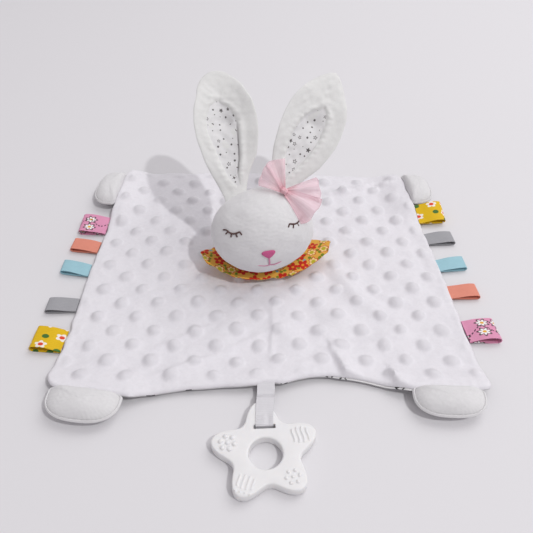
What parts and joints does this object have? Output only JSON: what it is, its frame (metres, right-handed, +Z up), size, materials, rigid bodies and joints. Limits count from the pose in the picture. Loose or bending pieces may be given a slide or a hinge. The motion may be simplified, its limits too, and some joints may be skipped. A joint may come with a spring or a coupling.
{
  "type": "comfort blanket",
  "caption": "Plush comfort blanket with a rabbit's head, stuffed paws, ribbon loops along two sides and a star teether on a strap.",
  "frame": {"origin": "under the middle of the blanket, on the surface it lies on", "axes": "+Z up, +X to the right as the rabbit's face is seen, +Y from the teether's edge to the opposite edge"},
  "size_m": [0.3391, 0.3212, 0.1218],
  "materials": {
    "minky": "plush with raised dots",
    "star_cotton": "woven, printed",
    "velboa": "short pile",
    "fibre_filling": "loose fibre",
    "pink_ribbon": "woven ribbon",
    "coral_ribbon": "woven ribbon",
    "blue_ribbon": "woven ribbon",
    "grey_ribbon": "woven ribbon",
    "yellow_ribbon": "woven ribbon",
    "white_satin": "satin weave",
    "silicone": "matt",
    "collar_print": "woven, printed",
    "tulle": "sheer net",
    "neck_cotton": "woven",
    "brown_thread": "satin stitch",
    "pink_thread": "satin stitch"
  },
  "bodies": {
    "blanket": {"blanket_top": "minky", "blanket_back": "star_cotton"},
    "paw_front_left": {"paw_front_left_top": "velboa", "paw_front_left_bottom": "velboa", "paw_front_left_filling": "fibre_filling"},
    "paw_front_right": {"paw_front_right_top": "velboa", "paw_front_right_bottom": "velboa", "paw_front_right_filling": "fibre_filling"},
    "paw_back_left": {"paw_back_left_top": "velboa", "paw_back_left_bottom": "velboa", "paw_back_left_filling": "fibre_filling"},
    "paw_back_right": {"paw_back_right_top": "velboa", "paw_back_right_bottom": "velboa", "paw_back_right_filling": "fibre_filling"},
    "tag_left_1_pink_print": {"tag_left_1_pink_print": "pink_ribbon"},
    "tag_left_2_coral": {"tag_left_2_coral": "coral_ribbon"},
    "tag_left_3_blue": {"tag_left_3_blue": "blue_ribbon"},
    "tag_left_4_grey": {"tag_left_4_grey": "grey_ribbon"},
    "tag_left_5_yellow_print": {"tag_left_5_yellow_print": "yellow_ribbon"},
    "tag_right_1_yellow_print": {"tag_right_1_yellow_print": "yellow_ribbon"},
    "tag_right_2_grey": {"tag_right_2_grey": "grey_ribbon"},
    "tag_right_3_blue": {"tag_right_3_blue": "blue_ribbon"},
    "tag_right_4_coral": {"tag_right_4_coral": "coral_ribbon"},
    "tag_right_5_pink_print": {"tag_right_5_pink_print": "pink_ribbon"},
    "strap": {"strap_root": "white_satin"},
    "teether": {"teether": "silicone", "strap_loop": "white_satin"},
    "neck_base": {"neck_thread": "neck_cotton"},
    "neck": {"neck": "neck_cotton"},
    "head": {"head_front": "velboa", "head_back": "velboa", "head_filling": "fibre_filling", "bow": "tulle", "bow_knot": "tulle", "collar_top": "collar_print", "collar_lining": "collar_print", "eye_left": "brown_thread", "eye_right": "brown_thread", "nose": "pink_thread", "mouth": "pink_thread"},
    "ear_left": {"ear_left_back": "velboa", "ear_left_border": "velboa", "ear_left_lining": "star_cotton", "ear_left_wadding": "fibre_filling"},
    "ear_right": {"ear_right_back": "velboa", "ear_right_border": "velboa", "ear_right_lining": "star_cotton", "ear_right_wadding": "fibre_filling"}
  },
  "joints": [
    {"name": "paw_front_left_fold", "type": "hinge", "parent": "blanket", "child": "paw_front_left", "pos_m": [-0.11786, -0.12313, 0.00825], "axis": [-0.9956, 0.0941, 0], "range_deg": [-75, 100]},
    {"name": "paw_front_right_fold", "type": "hinge", "parent": "blanket", "child": "paw_front_right", "pos_m": [0.11798, -0.12494, 0.00825], "axis": [-0.9985, -0.0551, 0], "range_deg": [-75, 100]},
    {"name": "paw_back_left_fold", "type": "hinge", "parent": "blanket", "child": "paw_back_left", "pos_m": [-0.13455, 0.09103, 0.00825], "axis": [0.0901, 0.9959, 0], "range_deg": [-75, 90]},
    {"name": "paw_back_right_fold", "type": "hinge", "parent": "blanket", "child": "paw_back_right", "pos_m": [0.12855, 0.08947, 0.00825], "axis": [0.0868, -0.9962, 0], "range_deg": [-75, 90]},
    {"name": "tag_left_1_pink_print_fold", "type": "hinge", "parent": "blanket", "child": "tag_left_1_pink_print", "pos_m": [-0.13808, 0.04199, 0.00321], "axis": [0.0609, 0.9954, 0.0744], "range_deg": [-80, 100], "stiffness_Nm_per_rad": 0.0008},
    {"name": "tag_left_2_coral_fold", "type": "hinge", "parent": "blanket", "child": "tag_left_2_coral", "pos_m": [-0.14059, 0.0149, 0.0025], "axis": [0.1083, 0.9941, 0], "range_deg": [-80, 100], "stiffness_Nm_per_rad": 0.0008},
    {"name": "tag_left_3_blue_fold", "type": "hinge", "parent": "blanket", "child": "tag_left_3_blue", "pos_m": [-0.14272, -0.0126, 0.0025], "axis": [0.0419, 0.9991, 0], "range_deg": [-80, 100], "stiffness_Nm_per_rad": 0.0008},
    {"name": "tag_left_4_grey_fold", "type": "hinge", "parent": "blanket", "child": "tag_left_4_grey", "pos_m": [-0.14415, -0.04673, 0.0025], "axis": [0.0419, 0.9991, 0], "range_deg": [-80, 100], "stiffness_Nm_per_rad": 0.0008},
    {"name": "tag_left_5_yellow_print_fold", "type": "hinge", "parent": "blanket", "child": "tag_left_5_yellow_print", "pos_m": [-0.14601, -0.08081, 0.0025], "axis": [0.0877, 0.9961, 0], "range_deg": [-80, 100], "stiffness_Nm_per_rad": 0.0008},
    {"name": "tag_right_1_yellow_print_fold", "type": "hinge", "parent": "blanket", "child": "tag_right_1_yellow_print", "pos_m": [0.13155, 0.05305, 0.00492], "axis": [0.0959, -0.9628, -0.2526], "range_deg": [-80, 100], "stiffness_Nm_per_rad": 0.0008},
    {"name": "tag_right_2_grey_fold", "type": "hinge", "parent": "blanket", "child": "tag_right_2_grey", "pos_m": [0.13457, 0.02494, 0.0025], "axis": [0.1103, -0.9939, 0], "range_deg": [-80, 100], "stiffness_Nm_per_rad": 0.0008},
    {"name": "tag_right_3_blue_fold", "type": "hinge", "parent": "blanket", "child": "tag_right_3_blue", "pos_m": [0.13763, -0.00693, 0.0025], "axis": [0.0918, -0.9958, 0], "range_deg": [-80, 100], "stiffness_Nm_per_rad": 0.0008},
    {"name": "tag_right_4_coral_fold", "type": "hinge", "parent": "blanket", "child": "tag_right_4_coral", "pos_m": [0.14042, -0.03667, 0.0025], "axis": [0.0992, -0.9951, 0], "range_deg": [-80, 100], "stiffness_Nm_per_rad": 0.0008},
    {"name": "tag_right_5_pink_print_fold", "type": "hinge", "parent": "blanket", "child": "tag_right_5_pink_print", "pos_m": [0.14513, -0.07576, 0.0025], "axis": [0.1235, -0.9923, 0], "range_deg": [-80, 100], "stiffness_Nm_per_rad": 0.0008},
    {"name": "strap_fold", "type": "hinge", "parent": "blanket", "child": "strap", "pos_m": [-0.00283, -0.11728, 0.0069], "axis": [-0.999, -0.0436, 0], "range_deg": [-75, 100]},
    {"name": "teether_swing", "type": "hinge", "parent": "strap", "child": "teether", "pos_m": [-0.00237, -0.12777, 0.0044], "axis": [-0.999, -0.0436, 0], "range_deg": [-45, 45]},
    {"name": "head_turn", "type": "hinge", "parent": "blanket", "child": "neck_base", "pos_m": [-0.003, -0.004, 0.0042], "axis": [0, 0, 1], "range_deg": [-30, 30], "stiffness_Nm_per_rad": 0.5},
    {"name": "head_tilt", "type": "hinge", "parent": "neck_base", "child": "neck", "pos_m": [-0.003, -0.004, 0.0042], "axis": [-0.1132, 0.9936, 0], "range_deg": [-10, 10], "stiffness_Nm_per_rad": 0.5},
    {"name": "head_nod", "type": "hinge", "parent": "neck", "child": "head", "pos_m": [-0.003, -0.004, 0.0042], "axis": [0.9936, 0.1132, 0], "range_deg": [-18, 12], "stiffness_Nm_per_rad": 0.5},
    {"name": "ear_left_flop", "type": "hinge", "parent": "head", "child": "ear_left", "pos_m": [-0.02355, 0.01608, 0.06055], "axis": [0.8755, 0.3973, 0.2752], "range_deg": [-35, 45], "stiffness_Nm_per_rad": 0.12},
    {"name": "ear_right_flop", "type": "hinge", "parent": "head", "child": "ear_right", "pos_m": [0.01059, 0.0218, 0.06076], "axis": [0.934, -0.0211, -0.3566], "range_deg": [-35, 15], "stiffness_Nm_per_rad": 0.12}
  ]
}
